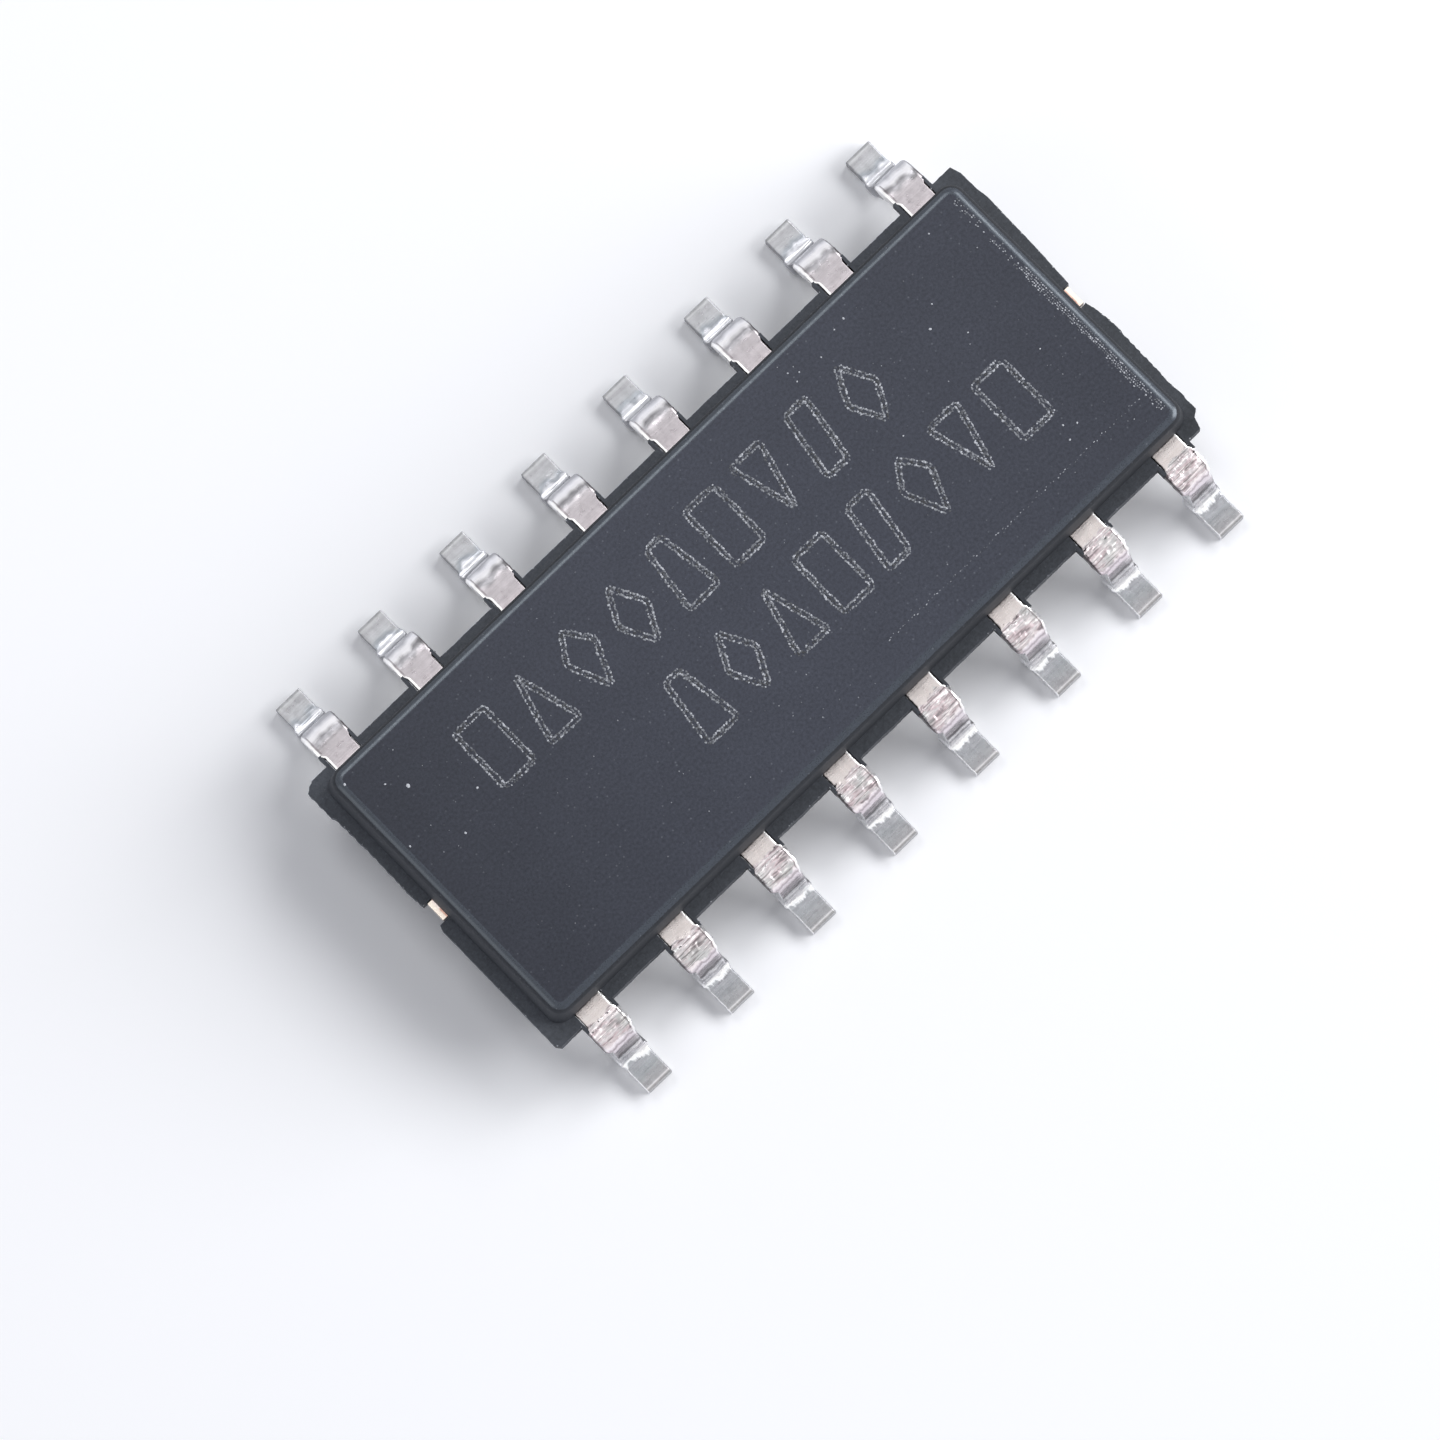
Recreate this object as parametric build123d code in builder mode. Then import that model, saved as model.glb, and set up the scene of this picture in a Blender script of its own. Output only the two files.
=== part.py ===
from build123d import *
from math import radians, tan
import os

os.makedirs("parts", exist_ok=True)

# A small-outline chip package with sixteen gull-wing leads. Lengths are in millimetres. X runs along the
# package from pin 1 to pin 8, -Y is the side of pins 1 to 8, and z = 0 is the board that the feet stand on.

# Leads, as seen from outside
pins_per_side = 8
pitch = 1.27
lead_span = 6.0
lead_thickness = 0.20
root_width = 0.375
dambar_width = 0.47
foot_width = 0.355
foot_flat = 0.33
bend_radius = 0.20
leg_lean = 10.0
neck_length = 0.19
flare_length = 0.07
dambar_length = 0.20
taper_length = 0.05

# Moulded body
end_margin = 0.43
body_width = 3.79
standoff = 0.18
lower_height = 0.57
upper_height = 0.55
draft_angle = 7.0
corner_radius = 0.25
top_edge_radius = 0.11
bottom_edge_radius = 0.10
ejector_mark_diameter = 1.0
ejector_mark_depth = 0.03
ejector_mark_spacing = 6.0

# Flash left at the parting line when the package was cut out of its frame
front_ledge = 0.155
back_ledge = 0.12
hook_width = 0.05
hook_length = 0.26
notch_clearance = 0.02
# Each end is in two halves, told apart by the end it is on and the side it runs to. A step gives how far
# the torn edge stands out of the end wall, at a share of the way from the tie bar to the corner.
end_flash_steps = {
    (-1, -1): [(0.0, 0.135), (0.03, 0.157), (0.97, 0.159)],
    (-1, 1): [(0.0, 0.133), (0.22, 0.140), (0.43, 0.128), (0.73, 0.140), (0.77, 0.168), (0.96, 0.165)],
    (1, -1): [(0.0, 0.082), (0.06, 0.113), (0.17, 0.136), (0.67, 0.116), (0.90, 0.116), (0.92, 0.05)],
    (1, 1): [(0.0, 0.100), (0.27, 0.125), (0.72, 0.147), (0.79, 0.128), (0.93, 0.124)],
}
corner_cut = {(-1, -1): 0.044, (-1, 1): 0.122, (1, -1): 0.053, (1, 1): 0.043}

# Leadframe inside the body
root_depth = 0.25
finger_width = 0.30
finger_bend_radius = 0.16
# Where each finger turns and where it ends, counted from the middle of the package outwards
finger_turn_y = [1.52, 1.52, 1.45, 1.15]
finger_tip_x = [0.50, 1.42, 1.95, 1.95]
finger_tip_y = [1.22, 1.22, 0.90, 0.41]
pad_length = 3.4
pad_width = 2.0
pad_downset = 0.20
pad_corner_radius = 0.10
tie_bar_width = 0.25
tie_bar_proud = 0.07
tie_bar_slope = 0.30
tie_bar_bend_radius = 0.10

# Die and its wires
die_length = 1.90
die_width = 1.45
die_thickness = 0.28
attach_thickness = 0.03
attach_margin = 0.05
wire_diameter = 0.026
wire_sides = 8
ball_diameter = 0.08
ball_height = 0.02
loop_height = 0.13
bond_pad_x = [0.28, 0.80, 0.86, 0.86]
bond_pad_y = [0.62, 0.62, 0.42, 0.15]
stitch_inset = 0.09

# Heights that the pieces share
parting_bottom = standoff + lower_height
parting_top = parting_bottom + lead_thickness
lead_middle = parting_bottom + lead_thickness / 2
foot_middle = lead_thickness / 2
pad_top = parting_top - pad_downset
pad_bottom = pad_top - lead_thickness
die_bottom = pad_top + attach_thickness
die_top = die_bottom + die_thickness

# Distances from the middle plane that the pieces share
corner_lead_x = (pins_per_side - 1) * pitch / 2
half_length = corner_lead_x + end_margin
half_width = body_width / 2
body_length = 2 * half_length
toe_y = lead_span / 2
neck_end_y = half_width + neck_length
dambar_start_y = neck_end_y + flare_length
dambar_end_y = dambar_start_y + dambar_length
tie_bar_end = half_length + tie_bar_proud


def pin_place(pin):
    """Returns a pin's x and its side: -1 for the front row, which counts along +X, and 1 for the back row."""
    if pin <= pins_per_side:
        return (pin - 1) * pitch - corner_lead_x, -1
    return corner_lead_x - (pin - 1 - pins_per_side) * pitch, 1


def finger_rank(x):
    """Counts the leads from the middle of a row outwards: 0 is the lead next to the middle."""
    return min(int(abs(x) / pitch), len(finger_tip_x) - 1)


def finger_tip(x, side):
    """Returns the point where the inner finger of the lead at x ends."""
    end = 1 if x > 0 else -1
    rank = finger_rank(x)
    return end * finger_tip_x[rank], side * finger_tip_y[rank]


def bond_pad(x, side):
    """Returns the point on the die that the lead at x is wired to."""
    end = 1 if x > 0 else -1
    rank = finger_rank(x)
    return end * bond_pad_x[rank], side * bond_pad_y[rank]


def stitch_point(x, side):
    """Returns the point where the wire lands, a little back from the tip along the finger's slant."""
    tip = Vector(*finger_tip(x, side))
    turn = Vector(x, side * finger_turn_y[finger_rank(x)])
    landing = tip + (turn - tip).normalized() * stitch_inset
    return landing.X, landing.Y


# Leads: a strip bent to a gull wing and trimmed to its stamped outline, with its finger inside the body
leg_run = (lead_middle - foot_middle) * tan(radians(leg_lean))
bend_tangent = bend_radius * tan(radians(90 - leg_lean) / 2)
ankle_y = toe_y - foot_flat - bend_tangent
knee_y = ankle_y - leg_run
strip_start_y = half_width - root_depth


def lead_outline(side):
    """Returns one lead's stamped outline about the Y axis: neck, flare, cut dambar stub and foot."""
    with BuildSketch() as outline:
        with BuildLine():
            Line((0, side * strip_start_y), (root_width / 2, side * strip_start_y))
            Line((root_width / 2, side * strip_start_y), (root_width / 2, side * neck_end_y))
            TangentArc(
                (root_width / 2, side * neck_end_y),
                (dambar_width / 2, side * dambar_start_y),
                tangent=(0, side),
            )
            Polyline(
                (dambar_width / 2, side * dambar_start_y),
                (dambar_width / 2, side * dambar_end_y),
                (foot_width / 2, side * (dambar_end_y + taper_length)),
                (foot_width / 2, side * (toe_y + lead_thickness)),
                (0, side * (toe_y + lead_thickness)),
            )
            mirror(about=Plane.YZ)
        make_face()
    return outline.sketch


stamped_outline = {side: lead_outline(side) for side in (-1, 1)}
leads = []
for pin in range(1, 2 * pins_per_side + 1):
    x, side = pin_place(pin)
    tip_x, tip_y = finger_tip(x, side)
    with BuildPart() as lead:
        with BuildSketch(Plane.YZ.offset(x)):
            with BuildLine():
                FilletPolyline(
                    (side * strip_start_y, lead_middle),
                    (side * knee_y, lead_middle),
                    (side * ankle_y, foot_middle),
                    (side * toe_y, foot_middle),
                    radius=bend_radius,
                )
            trace(line_width=lead_thickness)
        extrude(amount=dambar_width / 2, both=True)
        with BuildSketch(Plane((x, 0, 0))):
            add(stamped_outline[side])
        extrude(amount=parting_top, mode=Mode.INTERSECT)
        with BuildSketch(Plane.XY.offset(parting_bottom)):
            with BuildLine():
                FilletPolyline(
                    (x, side * (strip_start_y + finger_width / 2)),
                    (x, side * finger_turn_y[finger_rank(x)]),
                    (tip_x, tip_y),
                    radius=finger_bend_radius,
                )
            trace(line_width=finger_width)
        extrude(amount=lead_thickness)
    name = f"lead_{pin:02d}"
    lead.part.label = name
    export_step(lead.part, f"parts/{name}.step")
    leads.append(lead.part)

# Die pad: a plate set below the leads, whose two tie bars climb to the leads' level and end at the end walls
slope_start = pad_length / 2 + tie_bar_bend_radius
with BuildPart() as die_pad:
    with BuildSketch(Plane.XY.offset(pad_bottom)):
        RectangleRounded(pad_length, pad_width, pad_corner_radius)
    extrude(amount=lead_thickness)
    with BuildSketch(Plane.XZ):
        for end in (-1, 1):
            with BuildLine():
                FilletPolyline(
                    (end * (slope_start - 2 * tie_bar_bend_radius), pad_top - lead_thickness / 2),
                    (end * slope_start, pad_top - lead_thickness / 2),
                    (end * (slope_start + tie_bar_slope), lead_middle),
                    (end * tie_bar_end, lead_middle),
                    radius=tie_bar_bend_radius,
                )
            trace(line_width=lead_thickness)
    extrude(amount=tie_bar_width / 2, both=True)
die_pad.part.label = "die_pad"
export_step(die_pad.part, "parts/die_pad.step")

# Adhesive: a thin layer that squeezed out a little around the die
with BuildPart() as die_attach:
    with BuildSketch(Plane.XY.offset(pad_top)):
        Rectangle(die_length + 2 * attach_margin, die_width + 2 * attach_margin)
    extrude(amount=attach_thickness)
die_attach.part.label = "die_attach"
export_step(die_attach.part, "parts/die_attach.step")

# Die: a sawn block of silicon
with BuildPart() as die:
    with BuildSketch(Plane.XY.offset(die_bottom)):
        Rectangle(die_length, die_width)
    extrude(amount=die_thickness)
die.part.label = "die"
export_step(die.part, "parts/die.step")

# Bond wires: each stands on its squashed ball on the die, climbs, and comes down on its lead's finger. They are
# drawn with a few flat sides, because the body hides them.
wires = []
for pin in range(1, 2 * pins_per_side + 1):
    x, side = pin_place(pin)
    pad_point = bond_pad(x, side)
    landing = stitch_point(x, side)
    ball_top = die_top + ball_height
    with BuildPart() as wire:
        with BuildSketch(Plane.XY.offset(die_top)):
            with Locations(pad_point):
                RegularPolygon(ball_diameter / 2, wire_sides)
        extrude(amount=ball_height)
        with BuildLine():
            Polyline(
                (*pad_point, ball_top),
                (*pad_point, ball_top + loop_height),
                (*landing, ball_top),
                (*landing, parting_top),
            )
        with BuildSketch(Plane((*pad_point, ball_top))):
            RegularPolygon(wire_diameter / 2, wire_sides)
        sweep(transition=Transition.RIGHT)
    name = f"bond_wire_{pin:02d}"
    wire.part.label = name
    export_step(wire.part, f"parts/{name}.step")
    wires.append(wire.part)


def end_flash(end, side):
    """Returns the flash on one half of an end wall, from the tie bar round to the corner lead."""
    notch_y = tie_bar_width / 2 + notch_clearance
    corner_y = half_width + (back_ledge if side > 0 else front_ledge)
    torn_edge = [
        (end * (half_length + stand_out), side * (notch_y + share * (corner_y - notch_y)))
        for share, stand_out in end_flash_steps[end, side]
    ]
    last_stand_out = end_flash_steps[end, side][-1][1]
    with BuildSketch() as flash:
        with BuildLine():
            Polyline(
                (end * corner_lead_x, side * notch_y),
                *torn_edge,
                (end * (half_length + last_stand_out - corner_cut[end, side]), side * corner_y),
                (end * corner_lead_x, side * corner_y),
                close=True,
            )
        make_face()
    return flash.sketch


# Body: two drafted halves that meet at the leadframe, with the flash as a ledge of the frame's thickness
with BuildPart() as package_body:
    with BuildSketch(Plane.XY.offset(parting_bottom)):
        RectangleRounded(body_length, body_width, corner_radius)
    extrude(amount=-lower_height, taper=draft_angle)
    fillet(package_body.faces().sort_by(Axis.Z)[0].edges(), radius=bottom_edge_radius)
    with BuildSketch(Plane.XY.offset(parting_top)):
        RectangleRounded(body_length, body_width, corner_radius)
    extrude(amount=upper_height, taper=draft_angle)
    fillet(package_body.faces().sort_by(Axis.Z)[-1].edges(), radius=top_edge_radius)
    with BuildSketch(Plane.XY.offset(parting_bottom)):
        RectangleRounded(body_length, body_width, corner_radius)
        with Locations((0, (back_ledge - front_ledge) / 2)):
            Rectangle(2 * corner_lead_x, body_width + front_ledge + back_ledge)
        for end, side in end_flash_steps:
            add(end_flash(end, side))
        for pin in range(1, 2 * pins_per_side + 1):
            x, side = pin_place(pin)
            with Locations((x, side * (half_width + hook_length / 2))):
                Rectangle(root_width + 2 * hook_width, hook_length)
    extrude(amount=lead_thickness)
    with BuildSketch(Plane.XY.offset(standoff)):
        with GridLocations(ejector_mark_spacing, 0, 2, 1):
            Circle(ejector_mark_diameter / 2)
    extrude(amount=ejector_mark_depth, mode=Mode.SUBTRACT)
    for inner in [*leads, die_pad.part, die_attach.part, die.part, *wires]:
        add(inner, mode=Mode.SUBTRACT)
package_body.part.label = "package_body"
export_step(package_body.part, "parts/package_body.step")
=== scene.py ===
# %% [markdown]
# A small-outline chip is a block of dark moulded epoxy with sixteen tinned leads. It is under a
# centimetre long, so the script models in millimetres and shrinks each finished mesh to metres.
# That keeps bevels and noise well above the sizes at which Blender's operators lose precision.

import random
from math import atan2, cos, pi, radians, sin, tan

import bmesh
import bpy
from mathutils import Matrix, Vector, noise


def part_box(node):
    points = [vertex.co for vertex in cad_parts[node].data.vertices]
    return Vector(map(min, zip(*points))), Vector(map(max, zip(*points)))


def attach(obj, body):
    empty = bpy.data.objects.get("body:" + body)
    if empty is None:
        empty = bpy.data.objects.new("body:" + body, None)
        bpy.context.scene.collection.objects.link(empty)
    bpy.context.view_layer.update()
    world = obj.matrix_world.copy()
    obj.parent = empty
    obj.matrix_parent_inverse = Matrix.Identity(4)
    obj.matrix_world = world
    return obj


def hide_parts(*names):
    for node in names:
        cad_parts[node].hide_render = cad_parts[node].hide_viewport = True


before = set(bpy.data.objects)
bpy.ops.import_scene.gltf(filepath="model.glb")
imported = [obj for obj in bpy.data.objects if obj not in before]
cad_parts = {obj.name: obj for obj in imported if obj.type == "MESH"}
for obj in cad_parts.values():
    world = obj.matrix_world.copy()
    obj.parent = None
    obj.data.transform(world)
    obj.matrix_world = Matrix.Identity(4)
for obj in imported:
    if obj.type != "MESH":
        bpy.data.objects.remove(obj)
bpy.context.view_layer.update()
mm = 0.001
body_low, body_high = (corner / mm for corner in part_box("package_body"))
print("The body reaches from", body_low, "to", body_high, "mm")

# %% [markdown]
# Each finish is a node tree, and each tree repeats the same few gestures: add a node, set some of its
# sockets and link others. One helper does that, so that the finishes below read as lists of layers.

# %% Add nodes


def set_inputs(tree, node, inputs):
    """Sets a node's inputs. A value that is another node's socket is linked to the input."""
    for key, value in inputs.items():
        if isinstance(value, bpy.types.NodeSocket):
            tree.links.new(value, node.inputs[key])
        else:
            node.inputs[key].default_value = value


def add_node(tree, kind, inputs=None, **settings):
    """Adds a node with its settings and its inputs."""
    made = tree.nodes.new(kind)
    for key, value in settings.items():
        setattr(made, key, value)
    set_inputs(tree, made, inputs or {})
    return made


def new_material(name):
    """Returns a material, its node tree and its shader."""
    material = bpy.data.materials.new(name)
    material.use_nodes = True
    tree = material.node_tree
    return material, tree, tree.nodes["Principled BSDF"]


# %% Colours and ramps


def linear(red, green, blue):
    """Turns a colour from the 0 to 255 of a picture into the linear values that a shader takes."""
    shares = [channel / 255 for channel in (red, green, blue)]
    return [*(s / 12.92 if s <= 0.04045 else ((s + 0.055) / 1.055) ** 2.4 for s in shares), 1.0]


def grey(level):
    """Returns a linear grey for a ramp that shapes a number."""
    return (level, level, level, 1.0)


def millimetres(tree):
    """Returns Object coordinates in millimetres."""
    place = add_node(tree, "ShaderNodeTexCoord").outputs["Object"]
    scaled = add_node(tree, "ShaderNodeMapping", {"Vector": place, "Scale": (1 / mm,) * 3})
    return scaled.outputs["Vector"]


def noise_layer(tree, vector, per_mm, detail=2.0, roughness=0.5):
    """Returns a noise value with that many waves to the millimetre."""
    inputs = {"Vector": vector, "Scale": per_mm, "Detail": detail, "Roughness": roughness}
    return add_node(tree, "ShaderNodeTexNoise", inputs).outputs["Fac"]


def ramp(tree, value, stops):
    """Returns the colour that a ramp gives to a value. A stop is a place and a colour."""
    made = add_node(tree, "ShaderNodeValToRGB", {"Fac": value})
    elements = made.color_ramp.elements
    while len(elements) < len(stops):
        elements.new(1.0)
    for element, (place, colour) in zip(elements, stops):
        element.position = place
        element.color = colour
    return made.outputs["Color"]


def mix_colour(tree, share, first, second, blend="MIX"):
    """Returns a mix of two colours. The Mix node keeps colours in its inputs 6 and 7 and its output 2."""
    inputs = {0: share, 6: first, 7: second}
    return add_node(tree, "ShaderNodeMix", inputs, data_type="RGBA", blend_type=blend).outputs[2]


def calculate(tree, operation, *values):
    """Returns the result of a Math node."""
    return add_node(tree, "ShaderNodeMath", dict(enumerate(values)), operation=operation).outputs[0]


def bump(tree, height, depth_mm, below=None):
    """Returns a normal from a height of 0 to 1 that stands for that depth."""
    inputs = {"Height": height, "Distance": depth_mm * mm, "Strength": 1.0}
    if below is not None:
        inputs["Normal"] = below
    return add_node(tree, "ShaderNodeBump", inputs).outputs["Normal"]


# %% Finish a piece


def finish_piece(bm, name, materials):
    """Shrinks a mesh from millimetres to metres and makes it an object that rides on the part."""
    bmesh.ops.scale(bm, vec=(mm, mm, mm), verts=bm.verts)
    mesh = bpy.data.meshes.new(name)
    bm.to_mesh(mesh)
    bm.free()
    for material in materials:
        mesh.materials.append(material)
    piece = bpy.data.objects.new(name, mesh)
    bpy.context.scene.collection.objects.link(piece)
    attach(piece, "root")
    return piece


# %% [markdown]
# The photograph looks down on the chip, leaning a little towards pin 1, and the chip lies aslant in the
# frame. A long lens from a hand's breadth away keeps its sides almost parallel. The camera could be
# turned by angles, but a view direction and a roll say the same thing more plainly.

# %% Camera
view_middle = Vector((-1.199, -0.643, 0.8))
lean_to_pin_1 = radians(4.2)
lean_to_front = radians(7.79)
roll = radians(43.99)
camera_distance = 96.4
camera_lens = 217.64

towards_camera = Vector((-sin(lean_to_pin_1), -sin(lean_to_front), 0.0))
towards_camera.z = (1 - towards_camera.length_squared) ** 0.5
level_right = Vector((1, 0, 0))
level_right = (level_right - level_right.dot(towards_camera) * towards_camera).normalized()
level_up = towards_camera.cross(level_right)
camera_right = cos(roll) * level_right - sin(roll) * level_up
camera_up = sin(roll) * level_right + cos(roll) * level_up

camera = bpy.data.objects.new("camera", bpy.data.cameras.new("camera"))
bpy.context.scene.collection.objects.link(camera)
camera.data.lens = camera_lens
camera.data.clip_start = 0.001
camera.matrix_world = Matrix.Translation((view_middle + camera_distance * towards_camera) * mm) @ Matrix(
    (camera_right, camera_up, towards_camera)
).transposed().to_4x4()
bpy.context.scene.camera = camera
bpy.context.scene.view_settings.view_transform = "Standard"
print("The camera stands at", camera.matrix_world.translation / mm, "mm")

# %% [markdown]
# The light is a plain soft studio: a pale surround, a broad lamp beyond pin 8, whose shadow falls
# towards pin 16, and weaker lamps that draw the thin lines along the rounded edges. Each lamp's level is
# the share of a white floor's brightness that it gives, and all of them add up to about one, so that a
# colour renders about as it is written.

# %% Lamps
surround_level = 0.21


def soft_lamp(name, direction, distance, size, level):
    """Adds a square area lamp that shines from a direction at the chip."""
    away = Vector(direction).normalized()
    lamp = bpy.data.objects.new(name, bpy.data.lights.new(name, "AREA"))
    bpy.context.scene.collection.objects.link(lamp)
    lamp.data.size = size * mm
    lamp.data.energy = level * pi**2 * (distance * mm) ** 2 / away.z
    lamp.location = away * distance * mm
    lamp.rotation_euler = away.to_track_quat("Z", "Y").to_euler()


# Each lamp's name, direction from the chip, distance and size in millimetres, and level
lamps = [
    ("key_lamp", (0.72, -0.45, 0.47), 240, 170, 0.48),
    ("end_lamp", (0.70, 0.13, 0.70), 120, 46, 0.20),
    ("back_lamp", (0.07, 0.53, 0.84), 120, 44, 0.15),
    ("pin_1_lamp", (-0.78, 0.08, 0.50), 120, 60, 0.045),
]
for lamp in lamps:
    soft_lamp(*lamp)
print("The levels of all the light add up to", round(surround_level + sum(lamp[-1] for lamp in lamps), 3))

# %% Surround


def seen_rays(tree):
    """Returns 1 for the rays that show a thing, and 0 for those that only carry its light to others."""
    rays = add_node(tree, "ShaderNodeLightPath").outputs
    seen = calculate(tree, "MAXIMUM", rays["Is Camera Ray"], rays["Is Glossy Ray"])
    return calculate(tree, "MAXIMUM", seen, rays["Is Transmission Ray"])


world = bpy.data.worlds.new("surround")
bpy.context.scene.world = world
world.use_nodes = True
tree = world.node_tree
tree.nodes.clear()
light = add_node(tree, "ShaderNodeBackground", {"Color": linear(238, 241, 255), "Strength": surround_level})
white = add_node(tree, "ShaderNodeBackground", {"Color": (1, 1, 1, 1), "Strength": 1.0})
seen = seen_rays(tree)
both = add_node(tree, "ShaderNodeMixShader", {0: seen, 1: light.outputs[0], 2: white.outputs[0]})
add_node(tree, "ShaderNodeOutputWorld", {"Surface": both.outputs[0]})
print("The surround lights at", surround_level, "and is seen as white")

# %% [markdown]
# The chip lies on a white sheet that is lit until its texture is gone. A large flat square does for it,
# and a faint glow, which only the camera and reflections see, lifts it to that white.

# %% Floor
floor_size = 400
floor_lift = 0.09
bm = bmesh.new()
bmesh.ops.create_grid(bm, x_segments=1, y_segments=1, size=floor_size / 2)
bmesh.ops.scale(bm, vec=(mm, mm, mm), verts=bm.verts)
floor_mesh = bpy.data.meshes.new("floor")
bm.to_mesh(floor_mesh)
bm.free()
floor = bpy.data.objects.new("floor", floor_mesh)
bpy.context.scene.collection.objects.link(floor)

floor_material, tree, shader = new_material("pale_floor")
tree.nodes.remove(shader)
matt = add_node(tree, "ShaderNodeBsdfDiffuse", {"Color": linear(247, 248, 251)})
glow = add_node(tree, "ShaderNodeEmission", {"Color": (1, 1, 1, 1), "Strength": floor_lift})
lifted = add_node(tree, "ShaderNodeAddShader", {0: matt.outputs[0], 1: glow.outputs[0]})
seen = seen_rays(tree)
shown = add_node(tree, "ShaderNodeMixShader", {0: seen, 1: matt.outputs[0], 2: lifted.outputs[0]})
set_inputs(tree, tree.nodes["Material Output"], {"Surface": shown.outputs[0]})
floor_mesh.materials.append(floor_material)
print("The floor is", floor_size, "mm wide")

# %% [markdown]
# Moulding compound is epoxy that is packed with fine silica and dyed nearly black. Its skin copies the
# eroded mould: matt, grainy at a few hundredths of a millimetre, and a little cloudy. Image textures
# could hold that, but noise at the true scale does it on every side and needs no unwrapping.

# %% Moulding compound
ramp_reach = 10
cloud_per_mm = 1.3
cloud_dark = 0.86
cloud_pale = 1.12
mottle_per_mm = 28
filler_per_mm = 17.0
filler_share = 0.14
filler_strength = 0.35
coarse_per_mm = 9
fine_share = 0.6


def painted_shading_along_body(tree, place, axis, stops):
    """Returns a grey of painted light and shade that follows the body along an axis, from pairs of a place
    in mm and a level.
    """
    part = add_node(tree, "ShaderNodeSeparateXYZ", {"Vector": place}).outputs[axis]
    share = calculate(tree, "MULTIPLY_ADD", part, 1 / ramp_reach, 0.5)
    return ramp(tree, share, [(0.5 + at / ramp_reach, grey(level)) for at, level in stops])


def epoxy(name, base, roughness, grain_depth, gloss=0.35, sheen=(1, 1, 1, 1), lengthwise=(), crosswise=()):
    """Returns the finish of moulded epoxy: cloudy colour, pale filler grains, an eroded grain, and painted
    light and shade along and across the body.
    """
    material, tree, shader = new_material(name)
    place = millimetres(tree)
    cloud = noise_layer(tree, place, cloud_per_mm, 4)
    mottle = noise_layer(tree, place, mottle_per_mm, 3, 0.7)
    dark, pale = ([channel * share for channel in base[:3]] + [1] for share in (cloud_dark, cloud_pale))
    tone = mix_colour(tree, cloud, dark, pale)
    skin = ramp(tree, mottle, [(0.3, grey(0.25)), (0.7, grey(0.75))])
    tone = mix_colour(tree, 0.5, tone, skin, "OVERLAY")
    cells = add_node(tree, "ShaderNodeTexVoronoi", {"Vector": place, "Scale": filler_per_mm})
    draw = add_node(tree, "ShaderNodeTexWhiteNoise", {"Vector": cells.outputs["Position"]})
    is_grain = calculate(tree, "GREATER_THAN", draw.outputs["Value"], 1 - filler_share)
    near = ramp(tree, cells.outputs["Distance"], [(0.10, grey(1)), (0.24, grey(0))])
    speck = calculate(tree, "MULTIPLY", is_grain, near)
    speck = calculate(tree, "MULTIPLY", speck, filler_strength)
    tone = mix_colour(tree, speck, tone, linear(128, 132, 140))
    # Painted light and shade: the skin is made lighter or darker along and across the body
    for axis, stops in (("X", lengthwise), ("Y", crosswise)):
        if stops:
            tone = mix_colour(tree, 1.0, tone, painted_shading_along_body(tree, place, axis, stops), "MULTIPLY")
    matt = ramp(tree, mottle, [(0.3, grey(roughness - 0.06)), (0.7, grey(roughness + 0.08))])
    coarse = bump(tree, noise_layer(tree, place, coarse_per_mm, 2), grain_depth)
    fine = bump(tree, mottle, grain_depth * fine_share, coarse)
    set_inputs(tree, shader, {"Base Color": tone, "Roughness": matt, "Normal": fine})
    set_inputs(tree, shader, {"Specular IOR Level": gloss, "Specular Tint": sheen})
    return material


# %% The body's four skins
# Painted light and shade: how each skin is made lighter or darker along and across the body where the lamps
# reach it unevenly, as pairs of a place in millimetres and a level
top_painted_shading = [
    (-4.8, 0.68),
    (-3.6, 0.80),
    (-2.0, 0.95),
    (-0.6, 1.0),
    (1.2, 0.98),
    (2.8, 0.91),
    (4.8, 0.81),
]
wall_painted_shading = [(-4.8, 1.0), (-4.6, 0.62), (4.6, 0.56), (4.8, 0.46)]
flash_painted_shading_lengthwise = [(-4.85, 1.0), (-4.6, 0.85), (4.6, 0.85), (4.85, 0.55)]
flash_painted_shading_crosswise = [(-1.9, 0.66), (-1.7, 1.0)]
edge_sheen = (0.82, 0.91, 1.0, 1.0)
epoxy_skins = [
    epoxy("epoxy_top", linear(64, 67, 77), 0.42, 0.0022, gloss=0.2, lengthwise=top_painted_shading),
    epoxy("epoxy_wall", linear(64, 67, 73), 0.6, 0.0022, gloss=0.15, lengthwise=wall_painted_shading),
    # The flash's paler base is partly its own torn resin and partly painted light for a ledge that lies in
    # the body's shade
    epoxy(
        "epoxy_flash",
        linear(90, 94, 101),
        0.6,
        0.005,
        gloss=0.2,
        lengthwise=flash_painted_shading_lengthwise,
        crosswise=flash_painted_shading_crosswise,
    ),
    # The rounded edge is a glossier skin, and its darker base is painted shade for the dark that the rim
    # reflects
    epoxy("epoxy_edge", linear(38, 42, 52), 0.28, 0.0005, gloss=0.8, sheen=edge_sheen),
]
top_skin, wall_skin, flash_skin, painted_shade_edge_skin = range(len(epoxy_skins))
print("The skins are", [skin.name for skin in epoxy_skins])

# %% [markdown]
# The body is moulded in two halves that meet at the lead frame. Each half is drafted so that it leaves
# its mould, and its outer edges are rounded. Only the upper half's front wall stands nearly upright. A
# cube, extruded up and down and then bevelled, is how a die maker would describe it too, and bevels keep
# the rounding even where a scaled shape would not.

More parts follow.
